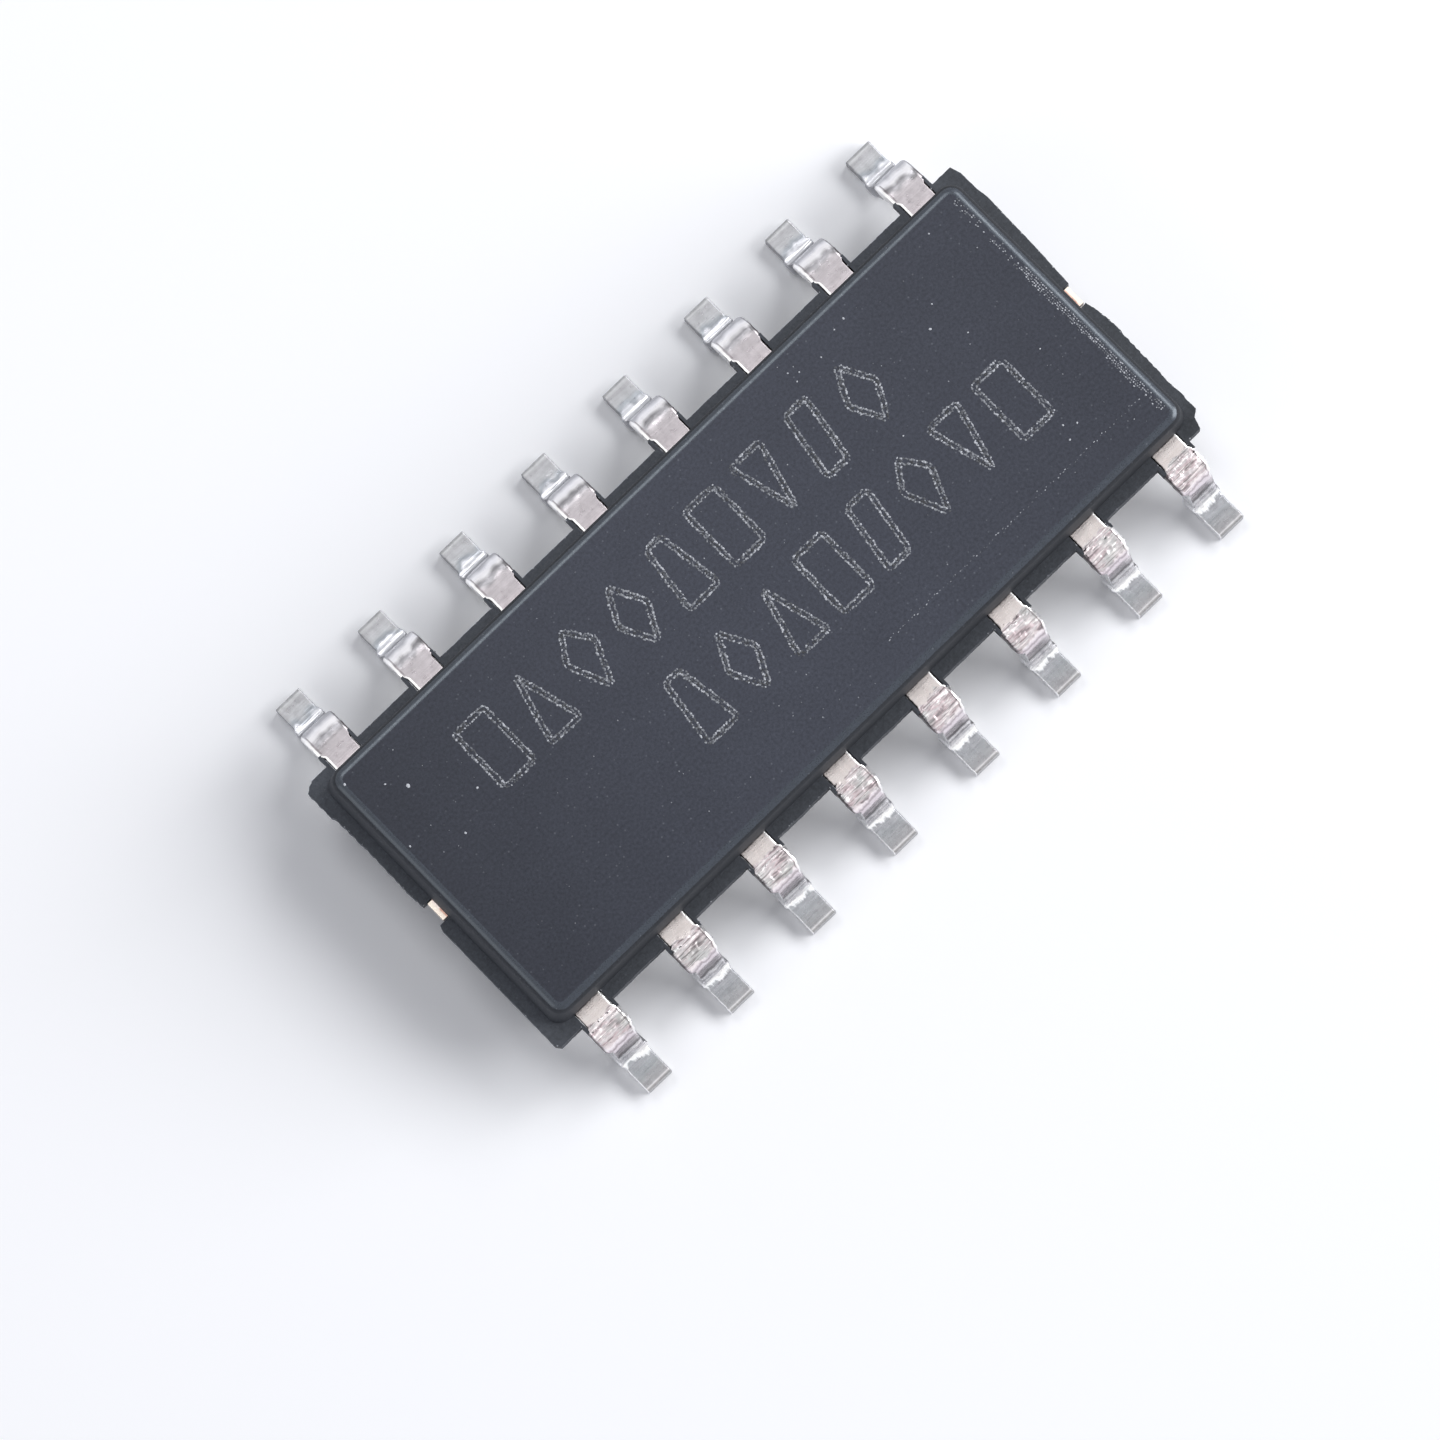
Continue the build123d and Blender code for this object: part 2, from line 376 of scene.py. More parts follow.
# %% The two drafted halves
lead_thickness = 0.20
parting_bottom = 0.75
parting_top = parting_bottom + lead_thickness
body_length = 9.75
body_width = 3.79
draft = tan(radians(7.0))
corner_radius = 0.18
top_edge_radius = 0.11
bottom_edge_radius = 0.10
round_segments = 8
wall_top = body_high.z - top_edge_radius
same_height = 1e-4
# How much further out than its draft the front wall's top edge stands
front_set = 0.055
# Faces that look up at least this much are the flat top, and the glossy part of its rounded edge
flat_top = 0.999
glossy_rim = 0.72


def drafted_half(bm, face, height):
    """Draws a face out by a height, and narrows it by the draft."""
    drawn = bmesh.ops.extrude_face_region(bm, geom=[face])["geom"]
    verts = [v for v in drawn if isinstance(v, bmesh.types.BMVert)]
    narrowing = 2 * abs(height) * draft
    bmesh.ops.translate(bm, vec=(0, 0, height), verts=verts)
    share = (1 - narrowing / body_length, 1 - narrowing / body_width, 1)
    bmesh.ops.scale(bm, vec=share, verts=verts)
    if face.is_valid:
        bmesh.ops.delete(bm, geom=[face], context="FACES_ONLY")


def round_off(bm, edges, radius):
    """Rounds edges off with the same number of segments everywhere."""
    bmesh.ops.bevel(
        bm, geom=edges, offset=radius, segments=round_segments, profile=0.5, affect="EDGES", material=-1
    )


def edges_at(bm, z):
    """Returns the level edges at a height."""
    return [e for e in bm.edges if all(abs(v.co.z - z) < same_height for v in e.verts)]


# %% The block of the body
block = bmesh.new()
bmesh.ops.create_cube(block, size=1)
bmesh.ops.scale(block, vec=(body_length, body_width, lead_thickness), verts=block.verts)
bmesh.ops.translate(block, vec=(0, 0, (parting_bottom + parting_top) / 2), verts=block.verts)
drafted_half(block, max(block.faces, key=lambda f: f.calc_center_median().z), body_high.z - parting_top)
drafted_half(block, min(block.faces, key=lambda f: f.calc_center_median().z), body_low.z - parting_bottom)
for vert in block.verts:
    if vert.co.y < 0 and vert.co.z > parting_top + lead_thickness:
        vert.co.y -= front_set
upright = [e for e in block.edges if abs(e.verts[0].co.z - e.verts[1].co.z) > lead_thickness / 2]
round_off(block, upright, corner_radius)
round_off(block, edges_at(block, body_high.z), top_edge_radius)
round_off(block, edges_at(block, body_low.z), bottom_edge_radius)
for face in block.faces:
    above_wall = face.calc_center_median().z >= wall_top
    if above_wall and face.normal.z > flat_top:
        face.material_index = top_skin
    elif above_wall and face.normal.z > glossy_rim:
        face.material_index = painted_shade_edge_skin
    else:
        face.material_index = wall_skin
print("The body block has", len(block.faces), "faces")

# %% [markdown]
# Where the mould closes on the lead frame, a web of resin as thick as the frame stays between the leads
# and round the ends, and it is torn or punched away after moulding. What is left is a ledge with small
# hooks that hug each lead's neck, and broken ends with a gap for the tie bar. Its outline is a few points
# for each end and a loop over the leads, finely subdivided and shaken by noise, more so where it tore.

# %% The outline of the parting ledge
pins_per_side = 8
pitch = 1.27
root_width = 0.375
front_ledge = 0.155
back_ledge = 0.12
hook_width = 0.05
hook_length = 0.26
hook_crack = 0.012
notch_half = 0.145
overlap = 0.03
half_length = body_length / 2
half_width = body_width / 2
corner_lead_x = (pins_per_side - 1) * pitch / 2
ledge_of = {-1: front_ledge, 1: back_ledge}
# How far each torn half stands out of the end wall, at a share of the way from the tie bar to the corner
end_steps = {
    (-1, -1): [(0.0, 0.135), (0.03, 0.157), (0.97, 0.159)],
    (-1, 1): [(0.0, 0.133), (0.22, 0.140), (0.43, 0.128), (0.73, 0.140), (0.77, 0.168), (0.96, 0.165)],
    (1, -1): [(0.0, 0.082), (0.06, 0.113), (0.17, 0.136), (0.67, 0.116), (0.90, 0.116), (0.92, 0.05)],
    (1, 1): [(0.0, 0.100), (0.27, 0.125), (0.72, 0.147), (0.79, 0.128), (0.93, 0.124)],
}
corner_cut = {(-1, -1): 0.044, (-1, 1): 0.122, (1, -1): 0.053, (1, 1): 0.043}


def torn_end(end, side):
    """Returns the ledge's outline on one half of an end, from the tie bar to the corner."""
    corner_y = half_width + ledge_of[side]
    points = [(end * (half_length - overlap), side * notch_half)]
    for share, stand_out in end_steps[end, side]:
        y = notch_half + share * (corner_y - notch_half)
        points.append((end * (half_length + stand_out), side * y))
    last = end_steps[end, side][-1][1] - corner_cut[end, side]
    points.append((end * (half_length + last), side * corner_y))
    return points


def ledge_side(side):
    """Returns the ledge's outline along one row of leads, towards +X."""
    points = []
    edge_y = side * (half_width + ledge_of[side])
    hook_y = side * (half_width + hook_length)
    inner_y = side * (half_width - overlap)
    for lead in range(pins_per_side):
        x = lead * pitch - corner_lead_x
        inner = root_width / 2 + hook_crack
        outer = root_width / 2 + hook_width
        points += [(x - outer, edge_y), (x - outer, hook_y), (x - inner, hook_y), (x - inner, inner_y)]
        points += [(x + inner, inner_y), (x + inner, hook_y), (x + outer, hook_y), (x + outer, edge_y)]
    return points


outline = torn_end(1, 1) + ledge_side(1)[::-1] + torn_end(-1, 1)[::-1]
outline += torn_end(-1, -1) + ledge_side(-1) + torn_end(1, -1)[::-1]
print("The ledge's outline has", len(outline), "points")

# %% The ledge, torn and given its thickness
ledge_inset = 0.002
tear_step = 0.02
side_tear = 0.004
end_tear = {(-1, -1): 0.003, (-1, 1): 0.013, (1, -1): 0.013, (1, 1): 0.004}
fine_tear_per_mm = 22
broad_tear_per_mm = 5
broad_share = 0.8
tear_seed = 16


def torn_amount(place):
    """Returns how rough the tear is at a place on the outline."""
    if abs(place.x) > corner_lead_x + root_width:
        return end_tear[1 if place.x > 0 else -1, 1 if place.y > 0 else -1]
    return side_tear


# Vector noise starts from the clock unless it is given a seed
noise.seed_set(tear_seed)
ledge = bmesh.new()
rim = [ledge.verts.new((x, y, parting_bottom + ledge_inset)) for x, y in outline]
ledge.faces.new(rim)
for edge in list(ledge.edges):
    cuts = int(edge.calc_length() / tear_step)
    if cuts:
        bmesh.ops.subdivide_edges(ledge, edges=[edge], cuts=cuts)
for vert in ledge.verts:
    rough = torn_amount(vert.co)
    shake = noise.noise_vector(vert.co * fine_tear_per_mm) * rough
    shake += noise.noise_vector(vert.co * broad_tear_per_mm) * rough * broad_share
    vert.co.xy += shake.xy
drawn = bmesh.ops.extrude_face_region(ledge, geom=list(ledge.faces))["geom"]
top_verts = [v for v in drawn if isinstance(v, bmesh.types.BMVert)]
bmesh.ops.translate(ledge, vec=(0, 0, lead_thickness - 2 * ledge_inset), verts=top_verts)
bmesh.ops.recalc_face_normals(ledge, faces=ledge.faces)
for face in ledge.faces:
    face.material_index = flash_skin
print("The ledge has", len(ledge.faces), "faces")

# %% [markdown]
# The block and the ledge are one moulding, so they are joined by a boolean, which leaves one closed skin,
# and two round ejector marks are sunk in the underside, where the mould's pins pushed the package out.

# %% The moulded body
mark_spacing = 6.0
mark_diameter = 1.0
mark_depth = 0.03
body_sharp_angle = radians(28)

body = finish_piece(block, "moulded_body", epoxy_skins)
ledge_mesh = finish_piece(ledge, "ledge_tool", epoxy_skins)
pins = bmesh.new()
for end in (-1, 1):
    place = Matrix.Translation((end * mark_spacing / 2, 0, body_low.z))
    bmesh.ops.create_cone(
        pins,
        cap_ends=True,
        segments=64,
        radius1=mark_diameter / 2,
        radius2=mark_diameter / 2,
        depth=2 * mark_depth,
        matrix=place,
    )
for face in pins.faces:
    face.material_index = wall_skin
pin_mesh = finish_piece(pins, "pin_tool", epoxy_skins)
for tool, operation in ((ledge_mesh, "UNION"), (pin_mesh, "DIFFERENCE")):
    boolean = body.modifiers.new(operation.lower(), "BOOLEAN")
    boolean.operation = operation
    boolean.solver = "EXACT"
    boolean.object = tool
joined = bpy.data.meshes.new_from_object(body.evaluated_get(bpy.context.evaluated_depsgraph_get()))
body.modifiers.clear()
body.data = joined
for tool in (ledge_mesh, pin_mesh):
    bpy.data.objects.remove(tool)
joined.shade_smooth()
joined.set_sharp_from_angle(angle=body_sharp_angle)
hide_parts("package_body")
print("The moulded body has", len(joined.polygons), "faces and", [m.name for m in joined.materials])

# %% [markdown]
# A lead is stamped from copper sheet, plated with tin, trimmed from its frame and bent to a gull wing.
# The mesh takes the same road: a cube is drawn out to a flat strip and narrowed to its stamped outline,
# its skin is crumpled where the tools held it and swells at the ankle, and then it is bent by turning all
# that lies beyond each station of the bend. A vector attribute keeps each point's place on the flat strip
# for the finish.

# %% Sizes of a lead
lead_span = 6.0
bend_radius = 0.20
leg_lean = radians(10)
foot_flat = 0.33
root_depth = 0.25
bend_angle = radians(90) - leg_lean
drop = parting_bottom
leg_run = drop * tan(leg_lean)
bend_tangent = bend_radius * tan(bend_angle / 2)
shoulder_end = lead_span / 2 - foot_flat - 2 * bend_tangent - leg_run - half_width
bend_length = bend_radius * bend_angle
leg_length = (drop**2 + leg_run**2) ** 0.5 - 2 * bend_tangent
ankle_start = shoulder_end + bend_length + leg_length
foot_start = ankle_start + bend_length
strip_end = foot_start + foot_flat
print("The strip is", round(strip_end + root_depth, 3), "mm long before it is bent")

# %% The stamped outline
# Pairs of a distance from the body's wall and a half width. The stub is what is left of the bar that held
# the leads together, and on the front row it is clipped shorter on one side.
root_half = root_width / 2
dambar_half = 0.235
foot_half = 0.1775
root_outline = [(-root_depth, root_half), (0.19, root_half), (0.26, dambar_half)]
toe_outline = [(strip_end, foot_half)]
front_stub = [(0.512, dambar_half), (0.530, foot_half)]
clipped_stub = [(0.425, dambar_half), (0.445, 0.205), (0.500, 0.200), (0.518, foot_half)]
back_stub = [(0.560, dambar_half), (0.578, foot_half)]
front_outline = root_outline + front_stub + toe_outline
clipped_outline = root_outline + clipped_stub + toe_outline
back_outline = root_outline + back_stub + toe_outline
print("The stub is", 2 * dambar_half, "mm wide and the foot", 2 * foot_half, "mm")


def smooth_step(low, high, value):
    """Returns 0 at low, 1 at high and a smooth way between them, whichever of the two is larger."""
    t = min(max((value - low) / (high - low), 0.0), 1.0)
    return t * t * (3 - 2 * t)


def half_width_at(station, front, clipped):
    """Returns the stamped outline's half width at a distance along the strip."""
    stations = back_outline if not front else clipped_outline if clipped else front_outline
    for (start, half), (stop, next_half) in zip(stations, stations[1:]):
        if station <= stop:
            return half + (next_half - half) * smooth_step(start, stop, station)
    return stations[-1][1]


# %% Make a flat strip
edge_round = 0.018
across_cuts = 27
along_cuts = 119


def flat_strip():
    """Returns the flat blank of a lead, centred on Y, with the wall at y = 0."""
    bm = bmesh.new()
    bmesh.ops.create_cube(bm, size=1)
    bmesh.ops.scale(bm, vec=(2 * dambar_half, strip_end + root_depth, lead_thickness), verts=bm.verts)
    bmesh.ops.translate(bm, vec=(0, (strip_end - root_depth) / 2, 0), verts=bm.verts)
    long_edges = [e for e in bm.edges if abs(e.verts[0].co.y - e.verts[1].co.y) > strip_end]
    bmesh.ops.bevel(
        bm, geom=long_edges, offset=edge_round, segments=3, profile=0.5, affect="EDGES", material=-1
    )
    wide_edges = [e for e in bm.edges if abs(e.verts[0].co.x - e.verts[1].co.x) > dambar_half]
    bmesh.ops.subdivide_edges(bm, edges=wide_edges, cuts=across_cuts)
    long_edges = [e for e in bm.edges if abs(e.verts[0].co.y - e.verts[1].co.y) > strip_end]
    bmesh.ops.subdivide_edges(bm, edges=long_edges, cuts=along_cuts)
    return bm


# %% Trim and crumple a strip
ridge_height = 0.006
crush_start = 0.20
crush_wander = 0.05
crush_height = 0.010
dent_height = 0.0015
edge_wander = 0.006
ankle_bulge = 0.13
shear_from = 0.198
# The front row, which is True here, is sheared deeper than the back row
shear_depth = {True: 0.035, False: 0.014}
# Each pair is a stretch of the strip, over which something sets in or ends
worked_from = (0.30, 0.48)
worked_to = (1.25, 1.45)
crush_to = (0.40, 0.47)
ankle_of = {True: ((1.02, 1.07), (1.12, 1.24)), False: ((1.13, 1.18), (1.27, 1.34))}


def trim(bm, front):
    """Narrows the strip to its stamped outline."""
    for vert in bm.verts:
        vert.co.x *= half_width_at(vert.co.y, front, vert.co.x < 0) / dambar_half


def skin_lift(x, y, z, pin, front):
    """Returns how far a point of the skin is raised, by ridges across the bends, crushing and shearing.

    Noise is read at so many waves to the millimetre, and the pin's number gives each lead its own."""
    top = smooth_step(0.0, lead_thickness / 2, z)
    bent = smooth_step(*worked_from, y) * (1 - smooth_step(*worked_to, y))
    lift = ridge_height * noise.noise(Vector((x * 3, y * 34, pin * 5.3))) * bent
    if front:
        start = crush_start + crush_wander * noise.noise(Vector((x * 9, pin * 3.1, 0)))
        zone = smooth_step(start, start + 0.02, y) * (1 - smooth_step(*crush_to, y))
        lift += crush_height * zone * top * noise.fractal(Vector((x * 16, y * 34, pin * 7.7)), 0.6, 2.0, 3)
    lift += dent_height * noise.noise(Vector((x * 12, y * 6, pin * 2.9)))
    sheared = smooth_step(shear_from, dambar_half, abs(x)) * top
    uneven = 1 + 0.3 * noise.noise(Vector((y * 26, pin * 6.1, 0)))
    return lift - shear_depth[front] * sheared * uneven


def crumple(bm, pin, front):
    """Works the skin of the flat strip, makes its cut edges uneven and swells the ankle."""
    swells, narrows = ankle_of[front]
    for vert in bm.verts:
        x, y, z = vert.co
        vert.co.z += skin_lift(x, y, z, pin, front)
        edge = smooth_step(0.7, 1.0, abs(x) / half_width_at(y, front, x < 0))
        vert.co.x += edge_wander * edge * noise.noise(Vector((y * 30, z * 9, pin * 4.7)))
        vert.co.x *= 1 + ankle_bulge * smooth_step(*swells, y) * (1 - smooth_step(*narrows, y))


# %% Bend a strip
skin_layer = "strip"
rim_layer = "rim"
bend_steps = 16


def bend(bm, start, angle, pivot, heading):
    """Bends the strip by turning all beyond each station. Returns the bend's end and the heading there."""
    skin = bm.verts.layers.float_vector[skin_layer]
    stride = bend_length / bend_steps
    turn = Matrix.Rotation(angle / bend_steps, 3, "X")
    pivot = pivot + heading * stride / 2
    for step in range(bend_steps):
        station = start + (step + 0.5) * stride
        beyond = [v for v in bm.verts if v[skin].y > station]
        bmesh.ops.rotate(bm, cent=pivot, matrix=turn, verts=beyond)
        heading = turn @ heading
        pivot = pivot + heading * stride
    return pivot - heading * stride / 2, heading


def bent_lead(pin, front):
    """Returns a lead bent to a gull wing, which leaves the wall at y = 0 towards +Y."""
    bm = flat_strip()
    trim(bm, front)
    skin = bm.verts.layers.float_vector.new(skin_layer)
    rim = bm.verts.layers.float.new(rim_layer)
    for vert in bm.verts:
        vert[skin] = (vert.co.x, vert.co.y, pin)
        vert[rim] = vert.co.x / half_width_at(vert.co.y, front, vert.co.x < 0)
    crumple(bm, pin, front)
    forward = Vector((0, 1, 0))
    knee_end, down = bend(bm, shoulder_end, -bend_angle, forward * shoulder_end, forward)
    foot, level = bend(bm, ankle_start, bend_angle, knee_end + down * leg_length, down)
    if pin == 1:
        print("The foot lies", round(-foot.z, 4), "mm below the shoulder and heads along", level)
    return bm


# %% [markdown]
# The tin's colour carries painted reflections and shade: bright and grey bands across the strip stand
# for how its flats and bends catch or miss the lamps. On the front row the plating from the stub into the
# knee is crushed to a patch with painted white glints; on the back row it only drew out in soft waves. Each
# row has its own ramp along the strip, read from the attribute that the flat strip kept, and noise that
# runs along the strip makes the bands' borders ragged.

# %% Places on the strip
tin_stretch = 1.7


def along_strip(tree, strip, across, along, turn=0.0):
    """Returns the strip's own coordinates, stretched, turned a little and told apart by lead."""
    inputs = {"Vector": strip, "Scale": (across, along, 7.3), "Rotation": (0, 0, turn)}
    return add_node(tree, "ShaderNodeMapping", inputs).outputs["Vector"]


def level_along(tree, along, stops):
    """Returns a grey that follows the strip, from pairs of a distance from the wall and a level."""
    return ramp(tree, along, [(place / tin_stretch, grey(level)) for place, level in stops])


# %% Crushed plating


def crushed_patch(tree, strip, parts, tone):
    """Lays the crushed plating over a tone: torn scales of pink, grey and white, painted white glints, and
    dark cracks.
    """
    scales = noise_layer(tree, along_strip(tree, strip, 4, 30, 0.12), 1.0, 3, 0.55)
    patch = ramp(
        tree,
        scales,
        [
            (0.34, linear(148, 138, 142)),
            (0.44, linear(208, 192, 196)),
            (0.53, linear(200, 195, 198)),
            (0.64, linear(244, 234, 236)),
        ],
    )
    tints = noise_layer(tree, along_strip(tree, strip, 3, 6), 1.0, 2)
    greenish = ramp(tree, tints, [(0.48, grey(0)), (0.6, grey(0.6))])
    patch = mix_colour(tree, greenish, patch, linear(184, 190, 189))
    # Painted highlight: white glints laid into the crushed plating's colour
    glints = noise_layer(tree, along_strip(tree, strip, 7, 44, 0.12), 1.0, 2, 0.6)
    painted_glint = ramp(tree, glints, [(0.60, grey(0)), (0.69, grey(0.7))])
    patch = mix_colour(tree, painted_glint, patch, linear(255, 252, 250))
    creases = noise_layer(tree, along_strip(tree, strip, 3, 62, 0.06), 1.0, 2, 0.6)
    cracks = ramp(tree, creases, [(0.38, grey(0.6)), (0.45, grey(0))])
    patch = mix_colour(tree, cracks, patch, linear(92, 84, 86))
    wander = noise_layer(tree, along_strip(tree, strip, 7, 3), 1.0, 2, 0.6)
    start = calculate(tree, "MULTIPLY_ADD", calculate(tree, "SUBTRACT", wander, 0.5), 0.22, parts["Y"])
    zone = ramp(tree, start, [(0.20, grey(0)), (0.215, grey(1)), (0.455, grey(1)), (0.475, grey(0.1))])
    return mix_colour(tree, zone, tone, patch)


# %% Painted light and shade along the edges of the plating


def painted_edge_light_and_shade(tree, along, tone, crushed):
    """Lays painted shade and painted highlights along the cut edges over a tone: a dark groove and a bright
    and a dark rim on the neck, and a dark outline on the foot, which on the front row also gets a bright
    side.
    """
    rim = add_node(tree, "ShaderNodeAttribute", attribute_name=rim_layer).outputs["Fac"]
    clipped_side = calculate(tree, "MULTIPLY", rim, -1.0)
    on_stub = level_along(tree, along, [(0.25, 0), (0.27, 1), (0.47, 1), (0.49, 0)])
    on_neck = level_along(tree, along, [(0.52, 1), (0.60, 0)])
    on_foot = calculate(tree, "SUBTRACT", 1.0, on_neck)
    painted_groove_shade = ramp(tree, clipped_side, [(0.73, grey(0)), (0.78, grey(0.8)), (0.83, grey(0))])
    painted_rim_highlight = ramp(tree, clipped_side, [(0.83, grey(0)), (0.87, grey(0.9))])
    painted_rim_shade = ramp(tree, rim, [(0.91, grey(0)), (0.97, grey(0.85))])
    painted_foot_shade_level = grey(0.7 if crushed else 0.2)
    painted_foot_outline_shade = ramp(tree, calculate(tree, "ABSOLUTE", rim), [(0.91, grey(0)), (0.96, painted_foot_shade_level)])
    # Each layer is painted light or shade: a rim made lighter where it catches the lamps, or darker where
    # it lies in shade
    layers = [
        (on_stub, painted_groove_shade, (104, 96, 100)),
        (on_neck, painted_rim_highlight, (255, 254, 254)),
        (on_neck, painted_rim_shade, (84, 78, 80)),
        (on_foot, painted_foot_outline_shade, (122, 122, 126)),
    ]
    if crushed:
        painted_side_highlight = ramp(tree, rim, [(0.93, grey(0)), (0.97, grey(0.9))])
        layers.append((on_foot, painted_side_highlight, (250, 250, 252)))
    for stretch, edge, colour in layers:
        tone = mix_colour(tree, calculate(tree, "MULTIPLY", stretch, edge), tone, linear(*colour))
    return tone


# %% Tin plating


def tin(name, bands, ragged, waves, roughness, crushed):
    """Returns plated tin, with painted reflections and shade as bands, pairs of a distance from the wall
    and a colour.
    """
    material, tree, shader = new_material(name)
    strip = add_node(tree, "ShaderNodeAttribute", attribute_name=skin_layer).outputs["Vector"]
    parts = add_node(tree, "ShaderNodeSeparateXYZ", {"Vector": strip}).outputs
    streaks = noise_layer(tree, along_strip(tree, strip, waves, 1.2), 1.0, 3 if crushed else 1, 0.6)
    centred = calculate(tree, "SUBTRACT", streaks, 0.5)
    along = calculate(tree, "DIVIDE", parts["Y"], tin_stretch)
    amount = level_along(tree, along, ragged)
    shifted = calculate(tree, "MULTIPLY_ADD", centred, amount, along)
    # The bands are painted reflections and painted shade: bright where the lead catches the lamps, dark
    # where it does not, as at the wall
    stops = [(place / tin_stretch, linear(*colour)) for place, colour in bands]
    tone = ramp(tree, shifted, stops)
    brush = along_strip(tree, strip, 3, 60)
    lines = ramp(tree, noise_layer(tree, brush, 1.0, 3, 0.6), [(0.3, grey(0.42)), (0.7, grey(0.56))])
    tone = mix_colour(tree, 0.6, tone, lines, "OVERLAY")
    mottle = noise_layer(tree, along_strip(tree, strip, 11, 11), 1.0, 3, 0.6)
    clouds = ramp(tree, mottle, [(0.32, grey(0.44)), (0.68, grey(0.55))])
    tone = mix_colour(tree, 0.7, tone, clouds, "OVERLAY")
    if crushed:
        tone = crushed_patch(tree, strip, parts, tone)
    tone = painted_edge_light_and_shade(tree, along, tone, crushed)
    place = millimetres(tree)
    patches = noise_layer(tree, place, 16, 2)
    satin = ramp(tree, patches, [(0.3, grey(roughness)), (0.7, grey(roughness + 0.12))])
    fine = bump(tree, noise_layer(tree, place, 60, 2), 0.0009)
    brushed = bump(tree, noise_layer(tree, brush, 1.0, 2), 0.0008, fine)
    set_inputs(tree, shader, {"Base Color": tone, "Roughness": satin, "Normal": brushed, "Metallic": 1.0})
    return material


# %% Painted reflections and shade across the front row's leads
front_painted_bands = [
    (0.0, (60, 54, 52)),
    (0.014, (240, 231, 229)),
    (0.15, (224, 216, 214)),
    (0.43, (206, 198, 200)),
    (0.455, (232, 222, 226)),
    (0.475, (255, 248, 250)),
    (0.495, (226, 216, 221)),
    (0.51, (168, 158, 163)),
    (0.53, (232, 223, 228)),
    (0.565, (226, 218, 223)),
    (0.585, (184, 176, 181)),
    (0.605, (222, 214, 219)),
    (0.64, (186, 180, 184)),
    (0.69, (208, 202, 206)),
    (0.735, (146, 141, 145)),
    (0.785, (112, 109, 112)),
    (0.81, (216, 214, 217)),
    (0.88, (255, 253, 255)),
    (0.93, (188, 186, 190)),
    (0.99, (240, 238, 242)),
    (1.10, (232, 232, 234)),
    (1.13, (255, 255, 255)),
    (1.22, (250, 252, 255)),
    (1.275, (164, 167, 173)),
    (1.33, (170, 173, 179)),
    (1.40, (155, 159, 164)),
    (1.50, (155, 157, 161)),
    (1.57, (158, 158, 162)),
    (1.588, (218, 217, 220)),
    (1.603, (150, 150, 152)),
]
front_ragged = [(0.3, 0.01), (0.5, 0.04), (0.9, 0.07), (1.2, 0.32), (1.36, 0.12), (1.42, 0.0)]
front_tin = tin("tin_front", front_painted_bands, front_ragged, waves=14, roughness=0.22, crushed=True)
print("A lead of the front row has", len(front_painted_bands), "bands")

# %% Painted reflections and shade across the back row's leads
back_painted_bands = [
    (0.0, (150, 130, 134)),
    (0.010, (232, 224, 227)),
    (0.025, (188, 181, 185)),
    (0.10, (176, 170, 174)),
    (0.305, (174, 169, 173)),
    (0.345, (118, 117, 120)),
    (0.375, (126, 125, 129)),
    (0.41, (228, 227, 231)),
    (0.45, (236, 235, 239)),
    (0.51, (172, 172, 177)),
    (1.09, (166, 167, 172)),
    (1.15, (196, 197, 202)),
    (1.20, (190, 191, 196)),
    (1.28, (208, 209, 215)),
    (1.34, (150, 154, 161)),
    (1.37, (154, 158, 164)),
    (1.42, (170, 171, 175)),
    (1.55, (160, 160, 164)),
    (1.585, (180, 181, 184)),
    (1.603, (142, 143, 146)),
]
back_ragged = [(0.2, 0.01), (0.3, 0.06), (0.5, 0.06), (1.2, 0.14), (1.34, 0.26), (1.46, 0.0)]
back_tin = tin("tin_back", back_painted_bands, back_ragged, waves=5.5, roughness=0.26, crushed=False)
print("A lead of the back row has", len(back_painted_bands), "bands")

# %% The sixteen leads
lead_sharp_angle = radians(45)
for pin in range(1, 2 * pins_per_side + 1):
    front = pin <= pins_per_side
    x = (pin - 1) * pitch - corner_lead_x if front else corner_lead_x - (pin - 1 - pins_per_side) * pitch
    bm = bent_lead(pin, front)
    bmesh.ops.translate(bm, vec=(0, half_width, parting_bottom + lead_thickness / 2), verts=bm.verts)
    if front:
        bmesh.ops.rotate(bm, cent=(0, 0, 0), matrix=Matrix.Rotation(pi, 3, "Z"), verts=bm.verts)
    bmesh.ops.translate(bm, vec=(x, 0, 0), verts=bm.verts)
    for vert in bm.verts:
        vert.co.z = max(vert.co.z, 0.0)
        vert.co.y = min(max(vert.co.y, -lead_span / 2), lead_span / 2)
    lead = finish_piece(bm, f"tinned_lead_{pin:02d}", [front_tin if front else back_tin])
    lead.data.shade_smooth()
    lead.data.set_sharp_from_angle(angle=lead_sharp_angle)
    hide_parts(f"lead_{pin:02d}")
print("One lead has", len(lead.data.polygons), "faces")

# %% [markdown]
# What lies inside keeps its CAD shape: the pad, whose sheared tie bars show as copper in the notches of
# the two ends, and the die, its adhesive and its wires, which nothing shows. Their finishes are short.

